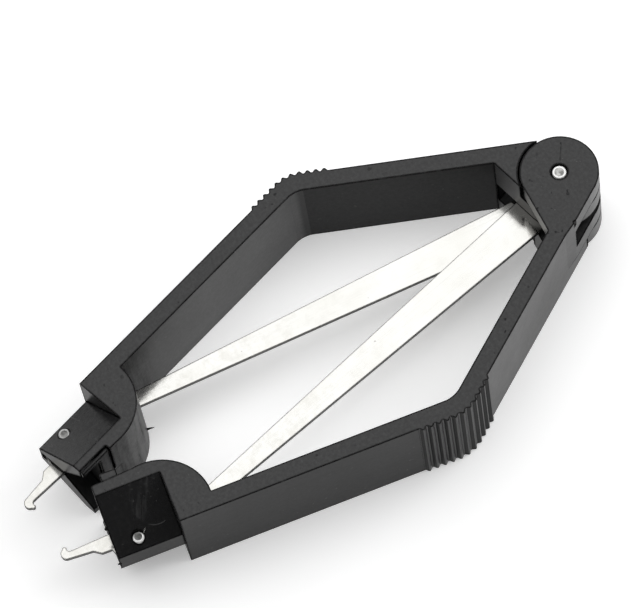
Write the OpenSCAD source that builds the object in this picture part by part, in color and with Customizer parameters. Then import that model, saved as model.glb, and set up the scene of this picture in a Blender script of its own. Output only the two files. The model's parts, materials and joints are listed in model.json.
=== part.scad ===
// Chip extractor tongs: two identical moulded handles, the left one turned over, on one pivot pin.
// Each handle carries a flat steel blade that runs from the pivot through the jaw and ends in a hook.
// Millimetres. +Z up along the pivot, hinge towards +Y, hooks towards -Y, right handle towards +X.

/* [Handles] */
// Thickness of the tool along the pivot axis
handle_t = 20; // [18:0.5:24]
// Wall width of the springy arm
arm_w = 3.6; // [3.2:0.1:4.2]
// Sideways reach of the elbow from the middle plane
elbow_x = 29.4; // [26:0.2:34]
// Distance of the elbow below the pivot
elbow_d = 44; // [40:0.5:50]
// Sideways position of the arm where the jaw begins
heel_x = 16.9; // [16:0.1:18.5]
// Distance of that place below the pivot
heel_d = 97; // [92:0.5:104]
// Inside fillet of the elbow
elbow_in_r = 6; // [3:0.5:8]
// Outside rounding of the elbow
elbow_out_r = 8; // [6:0.5:12]
// Number of grip ribs round the elbow
rib_n = 11; // [5:2:13]
// Spacing of the grip ribs
rib_pitch = 1.66; // [1.6:0.02:2]
// Height of one grip rib
rib_h = 0.56; // [0.4:0.02:0.8]
// Width of the flat crest of one grip rib
rib_crest = 0.32; // [0.2:0.02:0.5]
// Offset of the row of ribs from the elbow towards the jaw
rib_shift = 0.8; // [0:0.1:1.5]

/* [Hinge] */
// Radius of the hinge ears
ear_r = 7.8; // [7.2:0.1:8.4]
// Diameter of the pivot pin
pin_d = 2.8; // [2.2:0.1:3.4]
// Play between an ear and the hollow that faces it
seat_gap = 0.4; // [0.35:0.05:0.8]
// Play between two stacked ears
layer_gap = 0.28; // [0.1:0.02:0.4]
// Depth of the wide hollow on the outside of the arm, below the pivot
hollow_d = 8.5; // [8:0.1:9.5]
// Lip left between the wide hollow and the inner shoulder
hollow_lip = 0.4; // [0.3:0.05:0.8]
// Distance of the inner shoulder below the pivot, along the arm
shoulder_d = 12.4; // [11:0.2:14]
// Step of the ear past the outside of the arm
ear_step = 0.35; // [0.2:0.05:0.6]

/* [Jaws] */
// Radius of the round hump behind the jaw
hump_r = 10.5; // [9.5:0.1:11.2]
// Length of the jaw in front of the step
jaw_len = 13.3; // [11.5:0.1:15]
// Height of the thin outer wall of the jaw
wall_h = 4.8; // [4.2:0.1:6]
// Width of the flat rim on the inner side
rim_w = 2.95; // [2:0.05:3.4]
// Set-back of the upper jaw face at its front
face_relief = 0.7; // [0.2:0.1:1]
// Thickness left at the lip of the hollow inner side
lip_t = 1; // [0.8:0.1:1.8]
// Length of the stop tab
tab_len = 3.3; // [2.6:0.1:4]
// Reach of the stop tab past the jaw face
tab_out = 1.2; // [0.8:0.1:1.4]
// Width of the slit that frees the spring finger
slit_w = 0.42; // [0.3:0.02:0.6]
// Thickness of the spring finger
finger_t = 0.6; // [0.5:0.05:0.8]
// Depth of the slit beside the finger root
slit_d = 9; // [6:0.5:10]
// Distance of the jaw pin in front of the step
jaw_pin_set = 8.2; // [7.6:0.1:8.8]
// Diameter of the jaw pin
jaw_pin_d = 2.3; // [1.8:0.1:2.5]
// Length of the jaw pin
jaw_pin_len = 8; // [7.6:0.1:9]

/* [Hook blades] */
// Thickness of the blade sheet
blade_t = 0.9; // [0.7:0.05:1.2]
// Radius of the eye round the pivot
eye_r = 4.8; // [4.2:0.1:5.2]
// Width of the blade inside the jaw
blade_w = 3.4; // [3:0.1:3.6]
// Width of the neck behind the hook
neck_w = 1.35; // [1.1:0.05:1.5]
// Length of the blade in front of the jaw
hook_out = 10; // [8.5:0.1:12]
// Radius of the rounded hook end
hook_r = 1.2; // [1.05:0.05:1.3]
// Running play of the pivot pin in the left side
run_play = 0.05; // [0.03:0.01:0.08]

/* [Hidden] */
$fn = 64;
eps = 0.02;
// Depth by which tangent forms cross each other
bite = 0.03;

// Levels of the hinge stack, from the middle plane outwards
mid_z = handle_t / 2;
stack_half = blade_t + 0.15;
blade_lift = 0.05;
ear_h = (mid_z - stack_half) / 2;
low_cut_z = mid_z - stack_half - ear_h + layer_gap / 2;
gap_low_z = mid_z - stack_half;
top_ear_z = mid_z + stack_half + ear_h + layer_gap / 2;

// Directions of the two straight parts of the arm
arm_off = ear_r - ear_step - arm_w / 2;
elbow_dist = sqrt(elbow_x * elbow_x + elbow_d * elbow_d);
up_a = atan2(elbow_x, elbow_d) - asin(arm_off / elbow_dist);
low_a = atan2(elbow_x - heel_x, heel_d - elbow_d);
turn_a = up_a + low_a;
bend_a = 180 + (up_a - low_a) / 2;
miter = arm_w / 2 / cos(turn_a / 2);
corner_in = [elbow_x + miter * cos(bend_a), -elbow_d + miter * sin(bend_a)];
corner_out = [elbow_x - miter * cos(bend_a), -elbow_d - miter * sin(bend_a)];
along_up = [-sin(up_a), cos(up_a)];
side_out = [cos(up_a), sin(up_a)];

// Hinge shoulder and its tangent to the ear
shoulder = side_out * (arm_off - arm_w / 2) - along_up * shoulder_d;
shoulder_r = norm(shoulder);
shoulder_a = atan2(shoulder[1], shoulder[0]) - acos((ear_r - bite) / shoulder_r);
ear_touch = (ear_r - bite) * [cos(shoulder_a), sin(shoulder_a)];
ring_w = 0.3;
ring_d = 1.2;
pin_inset = 0.2;
pin_edge = 0.15;
jaw_pin_edge = 0.2;
pad_len = 8.8;
pad_ramp = 8;
nick_w = 0.7;
nick_d = 0.4;
nick_h = 1.8;
hollow_in = side_out * (arm_off - arm_w / 2) - along_up * (shoulder_d - hollow_lip);
hollow_out = side_out * (arm_off + arm_w / 2) - along_up * hollow_d;

// Jaw, in its own frame: u runs along the lower arm from the elbow, v inwards from the arm's middle line
step_u = norm([elbow_x - heel_x, heel_d - elbow_d]) + 3.85;
end_u = step_u + jaw_len;
hump_v = arm_w / 2;
hump_lead = 7.8;
hump_u = step_u - hump_lead + hump_r;
face_v = hump_v + hump_r;
rim_v = face_v - rim_w;
wall_v = -hump_v + 0.45;
front_v = face_v - face_relief;
front_low_v = face_v - 0.2;
jaw_pin_u = step_u + jaw_pin_set;
jaw_pin_v = 0.9;
blade_out_v = jaw_pin_v + jaw_pin_d / 2 + 0.1;
blade_in_v = blade_out_v + blade_w;
slot_in_v = blade_in_v + 2;
slot_out_v = wall_v + 0.5;
slot_back = 14;
slot_over = 6;
mouth_u = jaw_pin_u + 0.6;
mouth_v = blade_in_v - 0.5;
mouth_h = 0.9;
tab_u = jaw_pin_u - 0.5;
finger_u = hump_u + 3.3;
finger_v = face_v - 0.2 - finger_t;
tab_h = 2.6;
tab_drop = 0.4;
tab_root = 1.5;

// Blade outline, in the same jaw frame
bend_u = step_u - 4.6;
tooth_u = end_u - 1.7;
tooth_v = slot_out_v + 0.6;
root_v = blade_out_v - 0.5;
tip_u = end_u + hook_out - hook_r;
tip_v = blade_in_v - 1.25;
neck_v = tip_v - hook_r;
function in_jaw(u, v) = [
    elbow_x - u * sin(low_a) - v * cos(low_a),
    -elbow_d - u * cos(low_a) + v * sin(low_a)
];
bend_in = in_jaw(bend_u, blade_in_v);
bend_out = in_jaw(bend_u, blade_out_v);
edge_out = 3.5;
edge_in_a = atan2(bend_in[1], bend_in[0]) - acos(eye_r / norm(bend_in));
edge_out_a = atan2(bend_out[1], bend_out[0]) + acos(edge_out / norm(bend_out));

// The whole tool is centred lengthways between the hinge end and the hook end
hook_low = hook_r - in_jaw(tip_u, tip_v)[1];
shift_y = (hook_low - ear_r) / 2;

// Grip ribs follow the outside of the elbow
elbow_tan = elbow_out_r * tan(turn_a / 2);
elbow_arc = elbow_out_r * turn_a * PI / 360;
arc_mid = corner_out + elbow_out_r / cos(turn_a / 2) * [cos(bend_a), sin(bend_a)];
arc_turn = 180 / PI / elbow_out_r;
rib_root = 0.12;
along_low = -[sin(low_a), cos(low_a)];
side_low = [cos(low_a), -sin(low_a)];
function arc_out(s) = -[cos(bend_a - s * arc_turn), sin(bend_a - s * arc_turn)];
function rib_out(s) = abs(s) < elbow_arc ? arc_out(s) : (s < 0 ? side_out : side_low);
rib_start = elbow_tan - elbow_arc;
function rib_line(s) = s < 0 ? along_up * (rib_start - s) : along_low * (rib_start + s);
function rib_foot(s) = abs(s) < elbow_arc ? arc_mid + elbow_out_r * arc_out(s) : corner_out + rib_line(s);

// A plan point given from the pivot, in the frame of the right jaw: x is u, y is minus v
function to_jaw(p) = [
    -(p[0] - elbow_x) * sin(low_a) - (p[1] + elbow_d) * cos(low_a),
    (p[0] - elbow_x) * cos(low_a) - (p[1] + elbow_d) * sin(low_a)
];

// Children moved to a plan point given from the pivot
module at_plan(p, z) {
    q = to_jaw(p);
    translate([q[0], q[1], z])
        children();
}

// A plate with an outline given from the pivot
module plate(outline, h) {
    linear_extrude(h)
        polygon([for (p = outline) to_jaw(p)]);
}

// Children drawn in the frame of the right jaw
module at_jaw() {
    translate([elbow_x, -elbow_d, 0])
        rotate([0, 0, -90 - low_a])
            children();
}

// Children turned over about the long axis, from the right side to the left side
module turned_over() {
    translate([0, 0, handle_t])
        rotate([0, 180, 0])
            children();
}

// A bar along u with the given outline in [minus v, z]
module along_jaw(u0, u1) {
    translate([u0, 0, 0])
        rotate([90, 0, 90])
            linear_extrude(u1 - u0)
                children();
}

// Bent arm with its hinge shoulder, full thickness
module arm() {
    arm_end_in = in_jaw(step_u, hump_v);
    arm_end_out = in_jaw(step_u, -hump_v);
    foot_out = side_out * (arm_off + arm_w / 2);
    plate([shoulder, ear_touch, [0, 0], foot_out, corner_out, arm_end_out, arm_end_in, corner_in], handle_t);
}

// Corner material outside the elbow rounding
module elbow_corner() {
    reach_up = corner_out + along_up * elbow_tan;
    reach_low = corner_out - [sin(low_a), cos(low_a)] * elbow_tan;
    far_up = 1.5 * reach_up - 0.5 * arc_mid;
    far_low = 1.5 * reach_low - 0.5 * arc_mid;
    translate([0, 0, -1])
        difference() {
            plate([arc_mid, far_up, 2 * corner_out - arc_mid, far_low], handle_t + 2);
            at_plan(arc_mid, -1)
                cylinder(r = elbow_out_r + bite, h = handle_t + 4);
        }
}

// Inside fillet of the elbow
module elbow_fillet() {
    fillet_tan = elbow_in_r * tan(turn_a / 2);
    inset = arm_w / 4 * [cos(bend_a), sin(bend_a)];
    fillet_up = corner_in + along_up * fillet_tan - inset;
    fillet_low = corner_in - [sin(low_a), cos(low_a)] * fillet_tan - inset;
    fillet_mid = corner_in + elbow_in_r / cos(turn_a / 2) * [cos(bend_a), sin(bend_a)];
    difference() {
        plate([fillet_up, corner_in - inset, fillet_low, corner_in + 3 * inset], handle_t);
        at_plan(fillet_mid, -1)
            cylinder(r = elbow_in_r + bite, h = handle_t + 2);
    }
}

// One grip rib at a distance along the outside of the arm, measured from the elbow
module rib(s) {
    foot = rib_foot(s);
    out = rib_out(s);
    side = [-out[1], out[0]];
    base = (rib_pitch - 0.06) / 2;
    plate([
        foot - out * rib_root - side * base,
        foot - out * rib_root + side * base,
        foot + out * rib_h + side * rib_crest / 2,
        foot + out * rib_h - side * rib_crest / 2
    ], handle_t);
}

// Grip ribs on the outside of the elbow
module ribs() {
    for (i = [0 : rib_n - 1]) {
        rib((i - (rib_n - 1) / 2) * rib_pitch + rib_shift);
    }
}

// Pad that brings the outside of the arm out to the ears, with a long ramp
module ear_pad(z0, z1) {
    pad_near = side_out * (ear_r - bite);
    pad_far = pad_near - along_up * pad_len;
    pad_foot = side_out * (ear_r - ear_step - 0.5) - along_up * (pad_len + pad_ramp);
    translate([0, 0, z0])
        plate([[0, 0], pad_near, pad_far, pad_foot], z1 - z0);
}

// The two ears of one handle with their pads
module ears() {
    for (level = [[low_cut_z, gap_low_z], [top_ear_z, handle_t]]) {
        at_plan([0, 0], level[0])
            cylinder(r = ear_r, h = level[1] - level[0]);
        ear_pad(level[0], level[1]);
    }
}

// Small nick in the upper edge, where the ear meets the arm
module ear_nick() {
    mouth = side_out * (ear_r + nick_d) - along_up * hollow_d;
    root = side_out * (ear_r - nick_d) - along_up * hollow_d;
    translate([0, 0, handle_t - nick_h])
        plate([root, mouth - along_up * nick_w, mouth + along_up * nick_w], nick_h + 1);
}

// Hollows that let the ears of the other handle in: a round one and a wide one with a slanting end
module ear_hollows() {
    slant = hollow_out - hollow_in;
    far_out = hollow_out + slant;
    far_in = hollow_in - 4 * slant;
    beyond = along_up * 4 * ear_r;
    at_plan([0, 0], -1)
        cylinder(r = ear_r + seat_gap, h = low_cut_z + 1);
    translate([0, 0, gap_low_z])
        plate([far_out, far_in, far_in + beyond, far_out + beyond], top_ear_z - gap_low_z);
}

// Plan of the jaw between two heights, with the given inner position at the front
module jaw_plan(z0, z1, tip_in_v) {
    translate([0, 0, z0])
        linear_extrude(z1 - z0)
            polygon([
                [step_u - 1, -wall_v],
                [end_u, -wall_v],
                [end_u, -tip_in_v],
                [hump_u - 0.6, -face_v + 0.05],
                [step_u - 1, -hump_v - 1]
            ]);
}

// Sloped cut above the jaw, from the rim down to the outer wall
module jaw_slope() {
    fall = (handle_t - mid_z - wall_h / 2) / (rim_v - wall_v);
    over = 4;
    along_jaw(step_u, end_u + 1)
        polygon([
            [-rim_v - 1, handle_t + fall],
            [over - wall_v, mid_z + wall_h / 2 - over * fall],
            [over - wall_v, handle_t + fall]
        ]);
}

// Round hump and jaw block, full thickness
module jaw_block() {
    intersection() {
        translate([hump_u, -hump_v, 0])
            cylinder(r = hump_r, h = handle_t, $fn = 96);
        translate([hump_u - hump_r - 1, -face_v - 1, -1])
            cube([hump_r + 4, hump_r + 1 + arm_w / 4, handle_t + 2]);
    }
    jaw_plan(0, mid_z, front_low_v);
    jaw_plan(mid_z, handle_t, front_v);
}

// Blade slot, open inner side and pin bore of the jaw
module jaw_hollows(pin_r) {
    slot_z = gap_low_z;
    slot_h = stack_half + blade_lift + blade_t;
    mouth_rise = (mid_z - lip_t - mouth_h) / (face_v - mouth_v);
    mouth_end = mouth_h + mouth_rise * (face_v + 1 - mouth_v);
    translate([step_u - slot_back, -slot_in_v, slot_z])
        cube([slot_back + jaw_len + slot_over, slot_in_v - hump_v - 0.15, slot_h]);
    translate([step_u + 1.5, -slot_in_v, slot_z])
        cube([jaw_len + slot_over, slot_in_v - slot_out_v, slot_h]);
    along_jaw(mouth_u, end_u + 1)
        polygon([
            [-mouth_v, mid_z - mouth_h],
            [-mouth_v, mid_z + mouth_h],
            [-face_v - 1, mid_z + mouth_end],
            [-face_v - 1, mid_z - mouth_end]
        ]);
    translate([jaw_pin_u, -jaw_pin_v, 0])
        cylinder(r = pin_r, h = handle_t);
}

// Slit round the spring finger in the lower rim
module finger_slit() {
    translate([finger_u, -finger_v, -1])
        cube([end_u - finger_u + 1, slit_w, slit_d + 1]);
    translate([finger_u, -face_v - 1, -1])
        cube([slit_w, face_v + 1 - finger_v + slit_w, slit_d + 1]);
}

// Stop tab on the upper rim
module tab() {
    translate([tab_u, -face_v - tab_out, handle_t - tab_drop - tab_h])
        cube([tab_len, tab_out + tab_root, tab_h]);
}

// One handle, in the frame of the right jaw
module handle(bore_r) {
    difference() {
        union() {
            difference() {
                union() {
                    arm();
                    ear_pad(low_cut_z, handle_t);
                    elbow_fillet();
                    jaw_block();
                }
                elbow_corner();
                ear_hollows();
                jaw_slope();
                translate([0, 0, handle_t])
                    mirror([0, 0, 1])
                        jaw_slope();
                jaw_hollows(jaw_pin_d / 2);
                finger_slit();
            }
            ribs();
            ears();
            tab();
        }
        at_plan([0, 0], -1)
            cylinder(r = bore_r, h = handle_t + 2);
        at_plan([0, 0], handle_t - ring_d)
            cylinder(r = pin_d / 2 + ring_w, h = ring_d + 1);
        ear_nick();
    }
}

// One hook blade, in the frame of the right jaw
module blade(bore_r) {
    start_in = eye_r * [cos(edge_in_a), sin(edge_in_a)];
    start_out = edge_out * [cos(edge_out_a), sin(edge_out_a)];
    difference() {
        union() {
            at_plan([0, 0], 0)
                cylinder(r = eye_r, h = blade_t);
            plate([start_in, bend_in, bend_out, start_out], blade_t);
            linear_extrude(blade_t)
                polygon([
                    [bend_u - eps, -blade_in_v],
                    [bend_u - eps, -blade_out_v],
                    [tooth_u, -blade_out_v],
                    [tooth_u, -tooth_v],
                    [end_u - 0.2, -tooth_v],
                    [end_u + 0.4, -root_v],
                    [end_u + 2.4, -root_v],
                    [end_u + 3.9, -neck_v + 0.35],
                    [tip_u, -neck_v],
                    [tip_u, -neck_v - neck_w],
                    [end_u, -blade_in_v + 0.65]
                ]);
            translate([tip_u, -tip_v, 0])
                cylinder(r = hook_r, h = blade_t);
            translate([tip_u + 0.15, -tip_v - hook_r + 0.2, 0])
                cylinder(r = 0.42, h = blade_t, $fn = 32);
        }
        at_plan([0, 0], -1)
            cylinder(r = bore_r, h = blade_t + 2);
        translate([tip_u - 0.9, -tip_v - 0.85, -1])
            cylinder(r = 0.65, h = blade_t + 2, $fn = 32);
    }
}

// Straight pin with small chamfers at both ends
module chamfered_pin(r, len, edge) {
    cylinder(r1 = r - edge, r2 = r, h = edge);
    translate([0, 0, edge])
        cylinder(r = r, h = len - 2 * edge);
    translate([0, 0, len - edge])
        cylinder(r1 = r, r2 = r - edge, h = edge);
}

// Jaw pin of one handle, as it lies on the right side
module jaw_pin() {
    at_jaw()
        translate([jaw_pin_u, -jaw_pin_v, mid_z - jaw_pin_len / 2])
            chamfered_pin(jaw_pin_d / 2, jaw_pin_len, jaw_pin_edge);
}

// Right moulded handle
module right_handle() {
    color([0.16, 0.16, 0.165])
        translate([0, shift_y, 0])
            at_jaw()
                handle(pin_d / 2);
}

// Left moulded handle, the same moulding turned over
module left_handle() {
    color([0.16, 0.16, 0.165])
        translate([0, shift_y, 0])
            turned_over()
                at_jaw()
                    handle(pin_d / 2 + run_play);
}

// Pivot pin through all four ears and both blade eyes
module pivot_pin() {
    color([0.78, 0.78, 0.8])
        translate([0, shift_y, pin_inset])
            chamfered_pin(pin_d / 2, handle_t - 2 * pin_inset, pin_edge);
}

// Right hook blade, above the middle plane
module right_blade() {
    color([0.85, 0.85, 0.86])
        translate([0, shift_y, mid_z + blade_lift])
            at_jaw()
                blade(pin_d / 2);
}

// Left hook blade, below the middle plane
module left_blade() {
    color([0.85, 0.85, 0.86])
        translate([0, shift_y, 0])
            turned_over()
                translate([0, 0, mid_z + blade_lift])
                    at_jaw()
                        blade(pin_d / 2 + run_play);
}

// Jaw pin of the right handle
module right_jaw_pin() {
    color([0.78, 0.78, 0.8])
        translate([0, shift_y, 0])
            jaw_pin();
}

// Jaw pin of the left handle
module left_jaw_pin() {
    color([0.78, 0.78, 0.8])
        translate([0, shift_y, 0])
            turned_over()
                jaw_pin();
}

right_handle();
left_handle();
pivot_pin();
right_blade();
left_blade();
right_jaw_pin();
left_jaw_pin();
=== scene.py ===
import json
import math
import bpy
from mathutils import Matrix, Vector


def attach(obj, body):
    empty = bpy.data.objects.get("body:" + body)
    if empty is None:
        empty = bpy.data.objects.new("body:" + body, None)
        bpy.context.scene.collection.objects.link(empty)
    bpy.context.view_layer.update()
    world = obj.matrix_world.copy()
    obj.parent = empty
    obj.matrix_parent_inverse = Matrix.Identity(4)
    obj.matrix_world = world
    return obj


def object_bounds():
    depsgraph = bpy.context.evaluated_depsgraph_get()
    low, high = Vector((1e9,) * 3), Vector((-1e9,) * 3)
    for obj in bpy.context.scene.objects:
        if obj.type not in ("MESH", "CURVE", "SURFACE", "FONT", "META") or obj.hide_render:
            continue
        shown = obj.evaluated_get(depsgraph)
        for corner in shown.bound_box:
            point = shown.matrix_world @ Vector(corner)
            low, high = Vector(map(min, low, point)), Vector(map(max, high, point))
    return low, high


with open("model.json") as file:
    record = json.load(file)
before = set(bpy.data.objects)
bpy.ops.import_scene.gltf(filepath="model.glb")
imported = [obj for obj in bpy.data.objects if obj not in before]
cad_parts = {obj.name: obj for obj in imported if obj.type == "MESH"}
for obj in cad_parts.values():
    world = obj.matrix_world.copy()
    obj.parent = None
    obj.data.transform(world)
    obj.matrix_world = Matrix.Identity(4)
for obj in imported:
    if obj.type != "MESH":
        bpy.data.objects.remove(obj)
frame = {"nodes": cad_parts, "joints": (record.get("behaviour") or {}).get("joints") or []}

from types import SimpleNamespace

import bpy
from mathutils import Matrix, Vector

cad_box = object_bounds()
scene = bpy.context.scene
scene.view_settings.view_transform = "Standard"

# Units, and places on the right side in millimetres from the pivot
MM = 0.001
PIVOT_Y = frame["joints"][0]["pos_m"][1] / MM   # the pivot in the part's frame
TOP_Z = cad_box[1][2] / MM      # the tool's upper face
ELBOW = (29.4, -44.0)
UPPER_LEAN = math.radians(27.62)
LOWER_LEAN = math.radians(13.27)
BEND_MID = (22.84, -44.83)      # middle of the bend on the outside of the elbow
RIBS_UP = 7.76                  # reach of the ribs along both arms, from the elbow
RIBS_DOWN = 9.36
RIBS_SOFT = 0.05
EAR_END = (8.1, 7.9)            # distance from the pivot where the ears end
RAMP_END = (15.0, 14.5)         # and where the ramp that leads to them ends
JAW_PIN_ALONG = 66.52           # jaw pin along the lower arm from the elbow, and across it
JAW_PIN_ACROSS = 0.9
JAW_PIN_R = 1.15
PIVOT_PIN_R = 1.4

# Stretches along the length of the part, in millimetres
HUMP_Y = (-26.0, -32.0)
SLOPE_TOP_Y = (-56.0, -46.0)
BLADE_WEAR_Y = (14.0, -16.0)
BLADE_END_Y = (-50.0, -56.0)

# Camera: aim and distance in millimetres, focal length in pixels of the image
CAMERA_AIM = (-12.991, -50.082, 0.0)
CAMERA_TURN = math.radians(66.252)
CAMERA_RISE = math.radians(64.2)
CAMERA_ROLL = math.radians(-11.429)
CAMERA_FAR = 839.73
FOCAL_PIXELS = 4213.5
IMAGE_WIDTH = 640.0
SENSOR = 36.0
CLIP_START = 0.05
CLIP_END = 50.0

# Faces of a handle, as limits of the parts of the normal
LEVEL = (0.95, 0.99)
UPRIGHT = (0.3, 0.1)
SLOPED = (0.76, 0.87, 0.02)
TO_JAWS = (-0.05, -0.22)
UPPER_INSIDE = (-0.60, -0.36, 0.06)
OUTWARD = (0.05, 0.2)
EAR_SIDE = (0.55, 0.9)
HUMP_SIDE = (-0.2, 0.0)

# Plastic, noise: scale per metre, detail and roughness; a stretched noise has a scale of one
GRAIN = (2600.0, 3.0, 0.65)
LUMPS = (260.0, 2.0)
MOTTLE = (1300.0, 3.0, 0.65)
MOTTLE_LIMITS = (0.42, 0.70)
BLOTCH = (70.0, 4.0, 0.6)
BLOTCH_LIMITS = (0.3, 0.7)
FLOW = (1.0, 3.0, 0.6)
FLOW_STRETCH = (40, 900, 900)
DRAG = (1.0, 4.0, 0.65)
DRAG_STRETCH = (650, 650, 60)
RUBBING = (1.0, 2.0, 0.6)
RUBBING_STRETCH = (950, 45, 45)
RUBBING_LIMITS = (0.56, 0.74)

# Plastic, patches: a noise and its limits
CHIPPING = ((520.0, 3.0, 0.65), (0.56, 0.72))
RUBBING_PATCHES = ((150.0, 2.0), (0.42, 0.60, 0.0, 0.3))

# Spots: noise and its limits, then the noise of the patches they gather in and its limits
DUST_SPOTS = ((1150.0, 1.0), (0.72, 0.77), (60.0, 2.0), (0.48, 0.62))
PIT_SPOTS = ((780.0, 1.0), (0.70, 0.75), (90.0, 2.0), (0.42, 0.56))
SPECK_SPOTS = ((900.0, 2.0), (0.71, 0.74), (120.0, 2.0), (0.54, 0.62))

# Plastic, colour: two base tints, then layers of a share and a tint
PLASTIC_DARK = (0.0052, 0.0052, 0.0055)
PLASTIC_PALE = (0.0085, 0.0085, 0.0088)
MOTTLE_LAYER = (0.32, (0.026, 0.026, 0.0265))
DUST_LAYER = (0.16, (0.22, 0.22, 0.21))
# Dark lines along the edges: painted shade
EDGE_LAYER = (0.9, (0.0012, 0.0012, 0.0012))
CHIP_LAYER = (0.22, (0.12, 0.12, 0.122))
STREAK_LAYER = (0.22, (0.20, 0.20, 0.20))
WELD_LAYER = (0.6, (0.002, 0.002, 0.002))

# Edge lines start where the rounded normal leaves the plain one
EDGE_START = 0.995
EDGE_SAMPLES = 6

# Plastic, edge lines, which are painted shade: width in metres, limit of full strength, share left on the
# ribs
PLASTIC_EDGE = 0.00060
PLASTIC_EDGE_FULL = 0.97
RIB_EDGE = 0.35

# Plastic, changes of the mottling, the roughness, the gloss and the height, each under a mask
MOTTLE_MID = 0.5
# Lower mottling on the jaw's slopes darkens them: painted shade
MOTTLE_ON_SLOPE = -0.12
MOTTLE_ON_WALL = 0.3
ROUGH_BLOTCH = (0.25, 0.75, 0.32, 0.40)
ROUGH_FLOW = (0.5, 0.8, 0.0, 0.03)
ROUGH_LEVEL = 0.08
ROUGH_SLOPE = -0.10
ROUGH_STREAK = 0.14
GLOSS_MOTTLE = (0.25, 0.8, 0.42, 0.55)
# The gloss changes for walls, slopes, hump, rib flanks, ears and ramp are painted light and shade; those
# for pits and the weld line are real
GLOSS_WALL = -0.29
GLOSS_UPPER_INSIDE = -0.09
GLOSS_PIT = -0.30
GLOSS_SLOPE_RIGHT = -0.12
GLOSS_SLOPE_LEFT = -0.19
GLOSS_SLOPE_TOP = -0.13
GLOSS_HUMP = (0.34, 0.66, -0.42, -0.21)
GLOSS_HINGE_FLANK = (0.1, 0.6, 0.0, 0.85)
GLOSS_JAW_FLANK = (-0.5, -0.1, 0.08, 0.40)
GLOSS_EAR = 0.5
GLOSS_RAMP = 0.4
GLOSS_WELD = -0.22
EDGE_NO_GLOSS = 0.85
HEIGHT_GRAIN = 0.55
HEIGHT_LUMPS = 0.8
HEIGHT_WELD = -0.6
PLASTIC_BUMP = (0.18, 0.00006)

# Scratches above the right jaw pin: a fan of fine lines and one arc, in millimetres from the pivot
FAN_TOP = (6.6, -103.2)
FAN_TURN = math.radians(37.7)
FAN_LENGTH = 7.2
FAN_FADE = 2.0
FAN_HALF = 3.0
FAN_TIP = 0.9
FAN_SOFT = 1.2
FAN_SHARE = 0.6
FAN_LINES = (1.0, 4.0, 0.7)
FAN_STRETCH = (170, 1500, 170)
FAN_LIMITS = (0.47, 0.72)
FAN_BREAKS = ((330.0, 2.0), (0.36, 0.58, 0.25, 1.0))
FAN_DOTS = ((1500.0, 1.0), (0.66, 0.72))
FAN_DOT_SHARE = 0.5
ARC_MID = (9.49, -102.7)
ARC_R = 4.3
ARC_HALF = 0.04
ARC_SOFT = 0.07
ARC_FROM_X = (3.0, 3.6)
ARC_TO_Y = (0.35, -0.15)

# Weld line above the pivot, on the right ear's upper face: direction, and sizes in millimetres
WELD_TURN = math.radians(141.0)
WELD_HALF = 0.08
WELD_SOFT = 0.09
WELD_SPAN = (2.6, 5.8)
WELD_FADE = 0.8
WELD_Z = (TOP_Z - 0.2, TOP_Z - 0.1)
WELD_BREAKS = ((900.0, 2.0), (0.35, 0.6, 0.25, 1.0))

# Steel sheet, noise and patches
BRUSH = (1.0, 4.0, 0.65)
BRUSH_STRETCH = (2600, 34, 400)
BRUSH_LEAN = math.radians(7.5)
BRUSH_LIMITS = (0.5, 0.8)
SHEET_FINE = (1500.0, 3.0, 0.6)
SHEET_CLOUD = ((85.0, 3.0, 0.55), (0.3, 0.7))
SHEET_WEAR = ((420.0, 4.0, 0.65), (0.44, 0.66))
SHEET_WAVES = (240.0, 2.0)
END_PATCHES = ((500.0, 2.0), (0.35, 0.65, 0.3, 1.0))
# Darker, browner patch on the blades near the pivot: partly a smudge, partly painted shade and painted
# reflection of the dark ears above
ROOT_SMUDGE_SHADE_REACH = (11.8, 9.8)      # millimetres from the pivot, and how far the border wanders
ROOT_SMUDGE_SHADE_WANDER = 0.8
ROOT_SMUDGE_SHADE_PATCHES = ((380.0, 2.0), (0.3, 0.7, -ROOT_SMUDGE_SHADE_WANDER * MM, ROOT_SMUDGE_SHADE_WANDER * MM))

# Steel sheet, colour: two base tints, then layers of a share and a tint
SHEET_DARK = (0.635, 0.63, 0.60)
SHEET_PALE = (0.685, 0.682, 0.665)
WORN_TINT = (0.50, 0.49, 0.45)
WORN_SHARE = (0.10, 0.42)
BRUSH_LAYER = (0.22, (0.50, 0.50, 0.49))
SPECK_LAYER = (0.45, (0.12, 0.11, 0.10))
END_LAYER = (0.45, (0.48, 0.47, 0.44))
ROOT_SMUDGE_SHADE_LAYER = (0.55, (0.22, 0.21, 0.19))
# Thin dark lines along the blade edges are painted reflection; the darker sides are partly a dull sheared
# finish and partly painted shade
SHEET_EDGE_SHADE_LAYER = (0.92, (0.035, 0.035, 0.034))
SHEARED_SIDE_SHADE_LAYER = (0.90, (0.045, 0.045, 0.043))

# Steel sheet, edges, roughness and height; a bump is a strength and a depth in metres
SHEET_EDGE = 0.00034
SHEET_EDGE_FULL = 0.965
SHEET_RIM = (0.9, 0.4)
BRUSH_ROUGH = (0.25, 0.75, 0.10, 0.17)
FINE_ROUGH = (0.3, 0.8, 0.0, 0.05)
RIM_ROUGH = 0.25
HEIGHT_BRUSH = 0.7
HEIGHT_FINE = 0.4
WAVE_BUMP = (0.22, 0.00012)
BRUSH_BUMP = (0.08, 0.00004)

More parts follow.
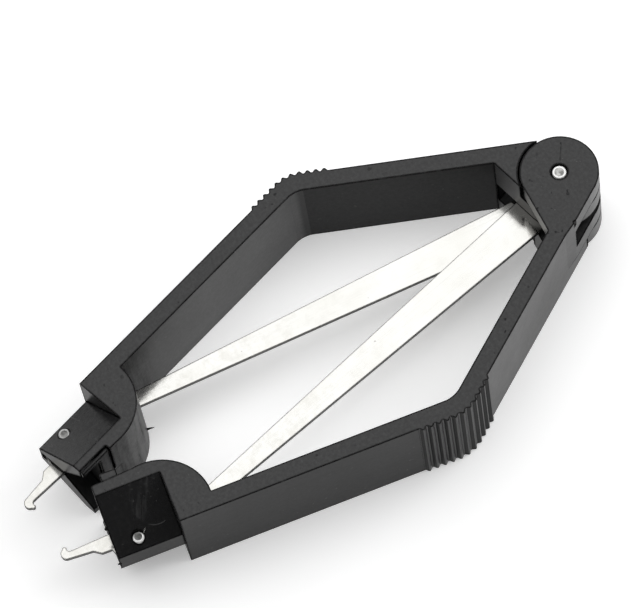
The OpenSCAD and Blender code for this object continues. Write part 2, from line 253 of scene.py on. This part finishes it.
# Pins: turned rings in radians per metre, noise, tints, zones as shares of the radius, brightness
PIN_RINGS = 42000.0
PIN_FINE = (1900.0, 3.0, 0.6)
PIN_FINE_LIMITS = (0.45, 0.75)
PIN_PATCHES = ((900.0, 2.0), (0.38, 0.62))
PIN_DARK = (0.16, 0.16, 0.155)
PIN_PALE = (0.46, 0.46, 0.45)
PIN_LIP = (0.78, 0.78, 0.77)
PIN_LIP_KEPT = 0.45             # share of the lip's tint that a dark pin keeps
PIN_FINE_LAYER = (0.4, (0.30, 0.30, 0.29))
PIN_EDGE_LAYER = (0.4, (0.92, 0.92, 0.92))
# A painted highlight on each pin's rim: its tint, zone, side, the metal left under it, and its brightness
GLINT_TINT = (1.0, 1.0, 0.99)
LIP_ZONE = (0.62, 0.86)
GLINT_ZONE = (0.66, 0.80)
GLINT_SIDE = (-0.65, 0.15)
GLINT_METAL = 0.15
GLINT = 0.95
LEFT_GLINT = 0.45
RIGHT_FACE = 0.3
LEFT_FACE = 0.42
PIN_EDGE = 0.00012
PIN_EDGE_FULL = 0.87
PIN_ROUGH = (0.3, 0.75, 0.24, 0.42)
HEIGHT_RINGS = 0.25
HEIGHT_PIN_FINE = 0.6
PIN_BUMP = (0.20, 0.00004)

# Slivers: paths of (along, lift, half width), in millimetres
UP = (0.0, 0.0, 1.0)
FRONT = (-math.sin(LOWER_LEAN), -math.cos(LOWER_LEAN), 0.0)
WHISKER = [(-0.5, 0.0, 0.34), (0.25, 0.05, 0.26), (0.8, 0.22, 0.17), (1.2, 0.16, 0.12), (1.5, 0.34, 0.05)]
LUMP = [(-0.35, 0.0, 0.40), (0.15, 0.0, 0.36), (0.42, -0.1, 0.2)]
SLIM = 0.6
SLIM_LUMP = [(along, lift, SLIM * half) for along, lift, half in LUMP]
TAIL = [(0.0, 0.0, 0.2), (0.5, 0.03, 0.19), (1.0, 0.06, 0.12), (1.3, 0.08, 0.04)]

# Floor and surroundings: the strip is where the softbox hangs, as limits of the direction
WHITE = (1, 1, 1, 1)
FLOOR_HALF = 4.0
FLOOR_COLOUR = (0.88, 0.88, 0.88, 1)
FLOOR_ROUGH = 0.9
FLOOR_GAIN = 0.33
AMBIENT = 0.15
STRIP_HALF = 0.54
STRIP_LOW = 0.42
STRIP_EDGE = 7.0


def metres(*lengths):
    return [length * MM for length in lengths]


def shade(colour, amount):
    return tuple(amount * c for c in colour)


# Camera, at the photograph's viewing angle
def make_camera():
    aim = Vector((CAMERA_AIM[0], CAMERA_AIM[1] + PIVOT_Y, CAMERA_AIM[2])) * MM
    level = math.cos(CAMERA_RISE)
    back = Vector((math.sin(CAMERA_TURN) * level, -math.cos(CAMERA_TURN) * level, math.sin(CAMERA_RISE)))
    right = (-back).cross(Vector(UP)).normalized()
    up = right.cross(-back)
    rolled_right = right * math.cos(CAMERA_ROLL) + up * math.sin(CAMERA_ROLL)
    rolled_up = -right * math.sin(CAMERA_ROLL) + up * math.cos(CAMERA_ROLL)
    place = aim + back * (CAMERA_FAR * MM)
    data = bpy.data.cameras.new("camera")
    data.sensor_width = SENSOR
    data.lens = FOCAL_PIXELS * SENSOR / IMAGE_WIDTH
    data.clip_start = CLIP_START
    data.clip_end = CLIP_END
    cam = bpy.data.objects.new("camera", data)
    rows = [[rolled_right[i], rolled_up[i], back[i], place[i]] for i in range(3)]
    cam.matrix_world = Matrix(rows + [[0, 0, 0, 1]])
    scene.collection.objects.link(cam)
    scene.camera = cam


make_camera()


# A material and the nodes that it is made of; a value is a number or another node's output
class Tree:
    def __init__(self, name):
        self.mat = bpy.data.materials.new(name)
        self.mat.use_nodes = True
        self.nt = self.mat.node_tree
        self.bsdf = self.nt.nodes["Principled BSDF"]
        self.obj = self.add("ShaderNodeTexCoord").outputs["Object"]
        self.normal = self.add("ShaderNodeNewGeometry").outputs["Normal"]

    def add(self, kind, **props):
        node = self.nt.nodes.new(kind)
        for key, value in props.items():
            setattr(node, key, value)
        return node

    def put(self, socket, value):
        if isinstance(value, bpy.types.NodeSocket):
            self.nt.links.new(value, socket)
        else:
            socket.default_value = value

    # Sums and products
    def math(self, op, a, b=0.0):
        node = self.add("ShaderNodeMath", operation=op)
        self.put(node.inputs[0], a)
        self.put(node.inputs[1], b)
        return node.outputs[0]

    def plus(self, a, b):
        return self.math("ADD", a, b)

    def minus(self, a, b):
        return self.math("SUBTRACT", a, b)

    def times(self, value, *others):
        for other in others:
            value = self.math("MULTIPLY", value, other)
        return value

    # A value raised by an amount where the mask is one; a negative amount lowers it
    def shift(self, value, mask, amount):
        return self.plus(value, self.times(mask, amount))

    # A value taken from one range to another, from zero to one by default, and held at its ends
    def remap(self, value, low, high, out_low=0.0, out_high=1.0):
        node = self.add("ShaderNodeMapRange", clamp=True)
        self.put(node.inputs["Value"], value)
        node.inputs["From Min"].default_value = low
        node.inputs["From Max"].default_value = high
        node.inputs["To Min"].default_value = out_low
        node.inputs["To Max"].default_value = out_high
        return node.outputs["Result"]

    # One between low and high, and zero outside, with soft borders
    def band(self, value, low, high, soft):
        rise = self.remap(value, low - soft, low)
        fall = self.remap(value, high, high + soft, 1.0, 0.0)
        return self.times(rise, fall)

    # Coordinates moved, turned or scaled
    def mapped(self, vector, **settings):
        node = self.add("ShaderNodeMapping")
        self.put(node.inputs["Vector"], vector)
        for key, value in settings.items():
            node.inputs[key].default_value = value
        return node.outputs["Vector"]

    # Object coordinates from a point that is given in millimetres from the pivot
    def moved(self, x, y):
        return self.mapped(self.obj, Location=(-x * MM, -(y + PIVOT_Y) * MM, 0))

    # Object coordinates turned about Z, then scaled
    def stretched(self, turn, scale):
        return self.mapped(self.mapped(self.obj, Rotation=(0, 0, turn)), Scale=scale)

    def split(self, vector):
        node = self.add("ShaderNodeSeparateXYZ")
        self.put(node.inputs[0], vector)
        return node.outputs

    # Coordinates and distance from an axis along Z, given in millimetres from the pivot
    def polar(self, x, y):
        dx, dy, _ = self.split(self.moved(x, y))
        return dx, dy, self.math("SQRT", self.plus(self.times(dx, dx), self.times(dy, dy)))

    def noise(self, vector, scale, detail, rough=0.5):
        node = self.add("ShaderNodeTexNoise")
        self.put(node.inputs["Vector"], vector)
        node.inputs["Scale"].default_value = scale
        node.inputs["Detail"].default_value = detail
        node.inputs["Roughness"].default_value = rough
        return node.outputs["Fac"]

    def patches(self, noise, limits):
        return self.remap(self.noise(self.obj, *noise), *limits)

    def spots(self, noise, limits, patch_noise, patch_limits):
        return self.times(self.patches(noise, limits), self.patches(patch_noise, patch_limits))

    # Colour
    def mix(self, mask, a, b):
        node = self.add("ShaderNodeMix", data_type="RGBA")
        self.put(node.inputs["Factor"], mask)
        for socket, value in ((node.inputs[6], a), (node.inputs[7], b)):
            self.put(socket, value if isinstance(value, bpy.types.NodeSocket) else (*value, 1.0))
        return node.outputs[2]

    def layer(self, colour, mask, share, tint):
        return self.mix(self.times(mask, share), colour, tint)

    # A mask of lines along the edges, and the normal with the edges rounded
    def edges(self, radius, full):
        bevel = self.add("ShaderNodeBevel", samples=EDGE_SAMPLES)
        bevel.inputs["Radius"].default_value = radius
        dot = self.add("ShaderNodeVectorMath", operation="DOT_PRODUCT")
        self.put(dot.inputs[0], bevel.outputs["Normal"])
        self.put(dot.inputs[1], self.normal)
        return self.remap(dot.outputs["Value"], EDGE_START, full), bevel.outputs["Normal"]

    def bump(self, height, strength, distance, normal=None):
        node = self.add("ShaderNodeBump")
        node.inputs["Strength"].default_value = strength
        node.inputs["Distance"].default_value = distance
        self.put(node.inputs["Height"], height)
        if normal is not None:
            self.put(node.inputs["Normal"], normal)
        return node.outputs["Normal"]

    def out(self, **sockets):
        for key, value in sockets.items():
            self.put(self.bsdf.inputs[key.replace("_", " ")], value)


# A fan of fine scratches above the right jaw pin and one arc beside it
def scratches(t):
    x, y, _ = t.split(t.mapped(t.moved(*FAN_TOP), Rotation=(0, 0, FAN_TURN)))
    half = t.remap(x, 0.0, *metres(FAN_LENGTH, FAN_HALF, FAN_TIP))
    fan = t.remap(t.minus(half, t.math("ABSOLUTE", y)), 0.0, FAN_SOFT * MM)
    fan = t.times(fan, t.remap(x, *metres(FAN_LENGTH, FAN_LENGTH - FAN_FADE)))
    lines = t.remap(t.noise(t.stretched(FAN_TURN, FAN_STRETCH), *FAN_LINES), *FAN_LIMITS)
    lines = t.times(lines, t.patches(*FAN_BREAKS))
    dots = t.patches(*FAN_DOTS)
    fan = t.times(fan, t.shift(lines, dots, FAN_DOT_SHARE))
    x, y, away = t.polar(*ARC_MID)
    arc = t.band(away, *metres(ARC_R - ARC_HALF, ARC_R + ARC_HALF, ARC_SOFT))
    arc = t.times(arc, t.remap(x, *metres(*ARC_FROM_X)), t.remap(y, *metres(*ARC_TO_Y)))
    return t.plus(t.times(fan, FAN_SHARE), arc)


# Faint rubbing along the left jaw
def rubs(t, jaw_turn):
    line = t.remap(t.noise(t.stretched(jaw_turn, RUBBING_STRETCH), *RUBBING), *RUBBING_LIMITS)
    return t.times(line, t.patches(*RUBBING_PATCHES))


# The grip ribs: outward faces within reach of the elbow along both arms
def rib_mask(t, side, nx):
    x, y, _ = t.split(t.moved(side * ELBOW[0], ELBOW[1]))
    ribs = t.remap(t.times(nx, side), *OUTWARD)
    for lean, turn, reach in ((UPPER_LEAN, 1, RIBS_UP), (LOWER_LEAN, -1, RIBS_DOWN)):
        along = t.plus(t.times(x, -side * math.sin(lean)), t.times(y, turn * math.cos(lean)))
        ribs = t.times(ribs, t.remap(along, *metres(reach + RIBS_SOFT, reach - RIBS_SOFT)))
    return ribs


# Gloss of the ribs' flanks, by whether they face the hinge or the jaw: painted light and shade on the
# flanks
def rib_gloss(t, side, m):
    x, y, _ = t.polar(side * BEND_MID[0], BEND_MID[1])
    turn = t.math("ARCTAN2", y, t.times(x, side))
    turn = t.math("MAXIMUM", t.math("MINIMUM", turn, UPPER_LEAN), -LOWER_LEAN)
    along = t.times(t.math("COSINE", turn), m.ny)
    across = t.times(t.math("SINE", turn), t.times(m.nx, side))
    tilt = t.minus(along, across)
    return t.plus(t.remap(tilt, *GLOSS_HINGE_FLANK), t.remap(tilt, *GLOSS_JAW_FLANK))


# Masks on a handle, each from zero to one, with the normal's parts that they come from
def handle_masks(t, side, jaw_turn):
    nx, ny, nz = t.split(t.normal)
    m = SimpleNamespace(nx=nx, ny=ny)
    rise = t.math("ABSOLUTE", nz)
    m.level = t.remap(rise, *LEVEL)
    m.upright = t.remap(rise, *UPRIGHT)
    m.slope = t.band(rise, *SLOPED)
    m.wall = t.times(m.upright, t.remap(ny, *TO_JAWS))
    m.ribs = rib_mask(t, side, nx)
    edge = t.edges(PLASTIC_EDGE, PLASTIC_EDGE_FULL)[0]
    m.edge = t.times(edge, t.remap(m.ribs, 0.0, 1.0, 1.0, RIB_EDGE))
    m.streak = t.times(scratches(t) if side > 0 else rubs(t, jaw_turn), m.slope)
    return m


# Fine mottling, fainter on the walls, and darker on the jaw's slopes, which is painted shade
def handle_mottle(t, m):
    mottle = t.shift(t.noise(t.obj, *MOTTLE), m.slope, MOTTLE_ON_SLOPE)
    spread = t.remap(m.wall, 0.0, 1.0, 1.0, MOTTLE_ON_WALL)
    return t.plus(t.times(t.minus(mottle, MOTTLE_MID), spread), MOTTLE_MID)


def handle_colour(t, m, mottle, blotch):
    chips = t.times(m.edge, t.patches(*CHIPPING))
    colour = t.mix(t.remap(blotch, *BLOTCH_LIMITS), PLASTIC_DARK, PLASTIC_PALE)
    colour = t.layer(colour, t.remap(mottle, *MOTTLE_LIMITS), *MOTTLE_LAYER)
    colour = t.layer(colour, t.spots(*DUST_SPOTS), *DUST_LAYER)
    # Painted shade: dark lines along the edges
    colour = t.layer(colour, m.edge, *EDGE_LAYER)
    colour = t.layer(colour, chips, *CHIP_LAYER)
    return t.layer(colour, m.streak, *STREAK_LAYER)


def handle_roughness(t, m, blotch, jaw_turn):
    flow = t.noise(t.stretched(jaw_turn, FLOW_STRETCH), *FLOW)
    rough = t.plus(t.remap(blotch, *ROUGH_BLOTCH), t.remap(flow, *ROUGH_FLOW))
    rough = t.shift(rough, m.level, ROUGH_LEVEL)
    rough = t.shift(rough, m.slope, ROUGH_SLOPE)
    return t.shift(rough, m.streak, ROUGH_STREAK)


# Specular level, which gives each kind of face its brightness: painted light and shade by which way a
# face turns (walls, inner walls, slopes, hump, rib flanks, ears, ramp), over the real mottling, pits and
# weld line
def handle_gloss(t, side, m, mottle):
    y = t.split(t.obj)[1]
    gloss = t.shift(t.remap(mottle, *GLOSS_MOTTLE), m.wall, GLOSS_WALL)
    gloss = t.shift(gloss, t.times(m.wall, t.band(m.ny, *UPPER_INSIDE)), GLOSS_UPPER_INSIDE)
    gloss = t.shift(gloss, t.times(t.spots(*PIT_SPOTS), m.level), GLOSS_PIT)
    gloss = t.shift(gloss, m.slope, GLOSS_SLOPE_RIGHT if side > 0 else GLOSS_SLOPE_LEFT)
    if side < 0:
        gloss = t.shift(gloss, m.slope, t.remap(y, *metres(*SLOPE_TOP_Y), 0.0, GLOSS_SLOPE_TOP))
    hump = t.times(m.upright, t.remap(y, *metres(*HUMP_Y)), t.remap(m.ny, *HUMP_SIDE))
    drag = t.noise(t.stretched(0.0, DRAG_STRETCH), *DRAG)
    gloss = t.shift(gloss, hump, t.remap(drag, *GLOSS_HUMP))
    gloss = t.shift(t.times(gloss, t.minus(1.0, m.ribs)), rib_gloss(t, side, m), m.ribs)
    away = t.polar(0.0, 0.0)[2]
    ear = t.times(t.remap(away, *metres(*EAR_END)), t.remap(m.nx, *EAR_SIDE), m.upright)
    gloss = t.shift(gloss, ear, GLOSS_EAR)
    if side > 0:
        gloss = t.shift(gloss, t.times(m.wall, t.remap(away, *metres(*RAMP_END))), GLOSS_RAMP)
    return t.times(gloss, t.remap(m.edge, 0.0, EDGE_NO_GLOSS, 1.0, 0.0))


# Broken weld line above the pivot
def weld_line(t):
    x, y, z = t.split(t.mapped(t.moved(0.0, 0.0), Rotation=(0, 0, math.pi / 2 - WELD_TURN)))
    across = t.band(x, *metres(-WELD_HALF, WELD_HALF, WELD_SOFT))
    along = t.band(y, *metres(*WELD_SPAN, WELD_FADE))
    line = t.times(across, along, t.remap(z, *metres(*WELD_Z)))
    return t.times(line, t.patches(*WELD_BREAKS))


# Dark moulded plastic with grain, dust, worn edges and dark edge lines of painted shade
def plastic(name, side):
    t = Tree(name)
    jaw_turn = math.pi / 2 + side * LOWER_LEAN
    m = handle_masks(t, side, jaw_turn)
    mottle = handle_mottle(t, m)
    blotch = t.noise(t.obj, *BLOTCH)
    colour = handle_colour(t, m, mottle, blotch)
    gloss = handle_gloss(t, side, m, mottle)
    height = t.times(t.noise(t.obj, *GRAIN), HEIGHT_GRAIN)
    height = t.shift(height, t.noise(t.obj, *LUMPS), HEIGHT_LUMPS)
    if side > 0:
        weld = weld_line(t)
        colour = t.layer(colour, weld, *WELD_LAYER)
        gloss = t.shift(gloss, weld, GLOSS_WELD)
        height = t.shift(height, weld, HEIGHT_WELD)
    t.out(Base_Color=colour, Roughness=handle_roughness(t, m, blotch, jaw_turn))
    t.out(Specular_IOR_Level=gloss, Normal=t.bump(height, *PLASTIC_BUMP))
    return t.mat


# Bright rolled steel sheet, brushed along the blade, with dark sheared edges: the sides are partly a dull
# sheared finish and partly painted shade, and the thin dark lines along the edges are painted reflection
def sheet_steel(name, side):
    t = Tree(name)
    brush = t.noise(t.stretched(-side * BRUSH_LEAN, BRUSH_STRETCH), *BRUSH)
    fine = t.noise(t.obj, *SHEET_FINE)
    edge, rounded = t.edges(SHEET_EDGE, SHEET_EDGE_FULL)
    rim = t.remap(t.math("ABSOLUTE", t.split(t.normal)[2]), *SHEET_RIM)
    y = t.split(t.obj)[1]
    worn = t.remap(t.remap(y, *metres(*BLADE_WEAR_Y)), 0.0, 1.0, *WORN_SHARE)
    worn = t.times(t.patches(*SHEET_WEAR), worn)
    end = t.times(t.remap(y, *metres(*BLADE_END_Y)), t.patches(*END_PATCHES))
    border = t.plus(t.polar(0.0, 0.0)[2], t.patches(*ROOT_SMUDGE_SHADE_PATCHES))
    smudge_and_shade = t.remap(border, *metres(*ROOT_SMUDGE_SHADE_REACH))
    colour = t.mix(t.patches(*SHEET_CLOUD), SHEET_DARK, SHEET_PALE)
    colour = t.mix(worn, colour, WORN_TINT)
    colour = t.layer(colour, t.remap(brush, *BRUSH_LIMITS), *BRUSH_LAYER)
    colour = t.layer(colour, t.spots(*SPECK_SPOTS), *SPECK_LAYER)
    colour = t.layer(colour, end, *END_LAYER)
    # Darker near the pivot: partly a smudge, partly painted shade and painted reflection of the dark ears
    colour = t.layer(colour, smudge_and_shade, *ROOT_SMUDGE_SHADE_LAYER)
    # Painted reflection along the edges, then the sides darkened, partly for the sheared finish and
    # partly as painted shade
    colour = t.layer(colour, edge, *SHEET_EDGE_SHADE_LAYER)
    colour = t.layer(colour, rim, *SHEARED_SIDE_SHADE_LAYER)
    rough = t.plus(t.remap(brush, *BRUSH_ROUGH), t.remap(fine, *FINE_ROUGH))
    wavy = t.bump(t.noise(t.obj, *SHEET_WAVES), *WAVE_BUMP, rounded)
    height = t.shift(t.times(brush, HEIGHT_BRUSH), fine, HEIGHT_FINE)
    t.out(Base_Color=colour, Roughness=t.shift(rough, rim, RIM_ROUGH), Metallic=1.0)
    t.out(Normal=t.bump(height, *BRUSH_BUMP, wavy))
    return t.mat


# Turned steel pin with rings on its end; face is how bright its end is, glint the brightness of a painted
# highlight on the side of its rim that faces out
def pin_steel(name, place, radius, face=1.0, out=(0.0, 0.0), glint=GLINT):
    t = Tree(name)
    x, y, away = t.polar(*place)
    share = t.times(away, 1.0 / (radius * MM))
    fine = t.noise(t.obj, *PIN_FINE)
    edge, rounded = t.edges(PIN_EDGE, PIN_EDGE_FULL)
    fine_share, fine_tint = PIN_FINE_LAYER
    edge_share, edge_tint = PIN_EDGE_LAYER
    lip_tint = shade(PIN_LIP, face + PIN_LIP_KEPT * (1 - face))
    colour = t.mix(t.patches(*PIN_PATCHES), shade(PIN_DARK, face), shade(PIN_PALE, face))
    colour = t.mix(t.remap(share, *LIP_ZONE), colour, lip_tint)
    colour = t.layer(colour, t.remap(fine, *PIN_FINE_LIMITS), fine_share, shade(fine_tint, face))
    colour = t.layer(colour, edge, edge_share * face, edge_tint)
    toward = t.times(t.plus(t.times(x, out[0]), t.times(y, out[1])), 1.0 / (radius * MM))
    # Painted highlight: a pale crescent on the side of the rim that faces out, with the metal taken away
    # so it stays pale
    bright = t.times(t.remap(toward, *GLINT_SIDE), t.remap(share, *GLINT_ZONE))
    colour = t.mix(bright, colour, shade(GLINT_TINT, glint))
    rings = t.math("SINE", t.times(away, PIN_RINGS))
    height = t.shift(t.times(rings, HEIGHT_RINGS), fine, HEIGHT_PIN_FINE)
    t.out(Base_Color=colour, Roughness=t.remap(fine, *PIN_ROUGH))
    t.out(Metallic=t.remap(bright, 0.0, 1.0, 1.0, GLINT_METAL), Normal=t.bump(height, *PIN_BUMP, rounded))
    return t.mat


# A jaw pin's place in millimetres from the pivot
def jaw_pin_place(side):
    lean_x, lean_y = math.sin(LOWER_LEAN), math.cos(LOWER_LEAN)
    x = ELBOW[0] - JAW_PIN_ALONG * lean_x - JAW_PIN_ACROSS * lean_y
    y = ELBOW[1] - JAW_PIN_ALONG * lean_y + JAW_PIN_ACROSS * lean_x
    return side * x, y


def dress(node, mat):
    for slot in frame["nodes"][node].material_slots:
        slot.material = mat


# Outward across the right lower arm; the left one is its mirror image
out_right = (math.cos(LOWER_LEAN), -math.sin(LOWER_LEAN))
out_left = (-math.cos(LOWER_LEAN), -math.sin(LOWER_LEAN))
pin_right = pin_steel("pin_right", jaw_pin_place(1), JAW_PIN_R, RIGHT_FACE, out_right)
pin_left = pin_steel("pin_left", jaw_pin_place(-1), JAW_PIN_R, LEFT_FACE, out_left, LEFT_GLINT)
dress("right_handle", plastic("moulding_right", 1))
dress("left_handle", plastic("moulding_left", -1))
dress("right_blade", sheet_steel("sheet_right", 1))
dress("left_blade", sheet_steel("sheet_left", -1))
dress("pivot_pin", pin_steel("pin_pivot", (0.0, 0.0), PIVOT_PIN_R))
dress("right_jaw_pin", pin_right)
dress("left_jaw_pin", pin_left)


# Sliver left by moulding or pressing: a tapering strip of four sides along a path.
# Its foot is in millimetres in the part's frame, and thick is its thickness as a share of its width
def sliver(name, body, mat, path, foot, out, thick, up=UP):
    foot = Vector(foot) * MM
    out = Vector(out).normalized()
    up = Vector(up)
    side = up.cross(out)
    verts = []
    for along, lift, half in path:
        mid = foot + (out * along + up * lift) * MM
        for a, b in ((1, 0), (0, thick), (-1, 0), (0, -thick)):
            verts.append(mid + (side * a + up * b) * half * MM)
    faces = [(3, 2, 1, 0), tuple(range(len(verts) - 4, len(verts)))]
    for ring in range(0, len(verts) - 4, 4):
        for k in range(4):
            a, b = ring + k, ring + (k + 1) % 4
            faces.append((a, b, b + 4, a + 4))
    mesh = bpy.data.meshes.new(name)
    mesh.from_pydata([tuple(v) for v in verts], [], faces)
    mesh.update()
    mesh.materials.append(mat)
    piece = bpy.data.objects.new(name, mesh)
    scene.collection.objects.link(piece)
    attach(piece, body)


flash_left = plastic("flash_left", -1)
flash_right = plastic("flash_right", 1)
burr_steel = sheet_steel("burr_steel", 1)
sliver("mould_flash", "left_side", flash_left, WHISKER,
       foot=(-9.43, -36.015, 2.8), out=(0.402, 0.915, 0.0), thick=0.45)
sliver("front_burr", "right_side", flash_right, LUMP,
       foot=(8.98, -55.45, 15.6), out=FRONT, thick=1.3)
sliver("corner_burr", "right_side", flash_right, SLIM_LUMP,
       foot=(14.2, -56.6, 9.9), out=FRONT, thick=1.4)
sliver("pin_burr", "right_side", burr_steel, TAIL,
       foot=(13.32, -49.93, 14.17), out=(-0.447, 0.719, 0.526), thick=0.5, up=(0.564, -0.133, 0.815))


# Sum, product or other operation for the floor and the surroundings, held between zero and one
def node_math(nt, op, a, b):
    node = nt.nodes.new("ShaderNodeMath")
    node.operation = op
    node.use_clamp = True
    for socket, value in zip(node.inputs, (a, b)):
        if isinstance(value, bpy.types.NodeSocket):
            nt.links.new(value, socket)
        else:
            socket.default_value = value
    return node.outputs[0]


# One for the rays that show a surface or mirror it, zero for those that light the object
def shown_rays(nt):
    rays = nt.nodes.new("ShaderNodeLightPath").outputs
    shown = node_math(nt, "MAXIMUM", rays["Is Camera Ray"], rays["Is Glossy Ray"])
    return node_math(nt, "MAXIMUM", shown, rays["Is Transmission Ray"])


# Plain pale floor
def make_floor():
    mesh = bpy.data.meshes.new("floor")
    corners = [(x * FLOOR_HALF, y * FLOOR_HALF, 0) for x, y in ((-1, -1), (1, -1), (1, 1), (-1, 1))]
    mesh.from_pydata(corners, [], [(0, 1, 2, 3)])
    floor = bpy.data.objects.new("floor", mesh)
    scene.collection.objects.link(floor)
    mat = bpy.data.materials.new("floor_white")
    mat.use_nodes = True
    nt = mat.node_tree
    bsdf = nt.nodes["Principled BSDF"]
    bsdf.inputs["Base Color"].default_value = FLOOR_COLOUR
    bsdf.inputs["Roughness"].default_value = FLOOR_ROUGH
    bsdf.inputs["Specular IOR Level"].default_value = 0.0
    bsdf.inputs["Emission Color"].default_value = WHITE
    gain = node_math(nt, "MULTIPLY", shown_rays(nt), FLOOR_GAIN)
    nt.links.new(gain, bsdf.inputs["Emission Strength"])
    mesh.materials.append(mat)


# Soft rectangular lamp, in metres
def area(name, place, aim, size, radiance):
    data = bpy.data.lights.new(name, "AREA")
    data.shape = "RECTANGLE"
    data.size, data.size_y = size
    data.energy = radiance * math.pi * size[0] * size[1]
    lamp = bpy.data.objects.new(name, data)
    lamp.location = place
    lamp.rotation_euler = (Vector(aim) - Vector(place)).to_track_quat("-Z", "Y").to_euler()
    scene.collection.objects.link(lamp)


# White surroundings, with a dark strip across the top that holds the softbox
def make_world():
    world = bpy.data.worlds.new("world")
    scene.world = world
    world.use_nodes = True
    nt = world.node_tree
    split = nt.nodes.new("ShaderNodeSeparateXYZ")
    nt.links.new(nt.nodes.new("ShaderNodeTexCoord").outputs["Generated"], split.inputs[0])
    sideways = node_math(nt, "ABSOLUTE", split.outputs["Y"], 0.0)
    beside = node_math(nt, "MULTIPLY", node_math(nt, "SUBTRACT", sideways, STRIP_HALF), STRIP_EDGE)
    below = node_math(nt, "SUBTRACT", STRIP_LOW, split.outputs["Z"])
    below = node_math(nt, "MULTIPLY", below, STRIP_EDGE)
    lit = node_math(nt, "MULTIPLY", shown_rays(nt), node_math(nt, "MAXIMUM", beside, below))
    strength = node_math(nt, "ADD", AMBIENT, node_math(nt, "MULTIPLY", lit, 1.0 - AMBIENT))
    background = nt.nodes["Background"]
    background.inputs["Color"].default_value = WHITE
    nt.links.new(strength, background.inputs["Strength"])


make_floor()
area("softbox", place=(-0.62, 0.05, 0.95), aim=(-0.62, 0.05, 0.0), size=(1.75, 1.7), radiance=1.40)
area("side_box", place=(0.25, 1.10, 0.75), aim=(0.0, 0.0, 0.0), size=(1.0, 1.0), radiance=2.6)
make_world()
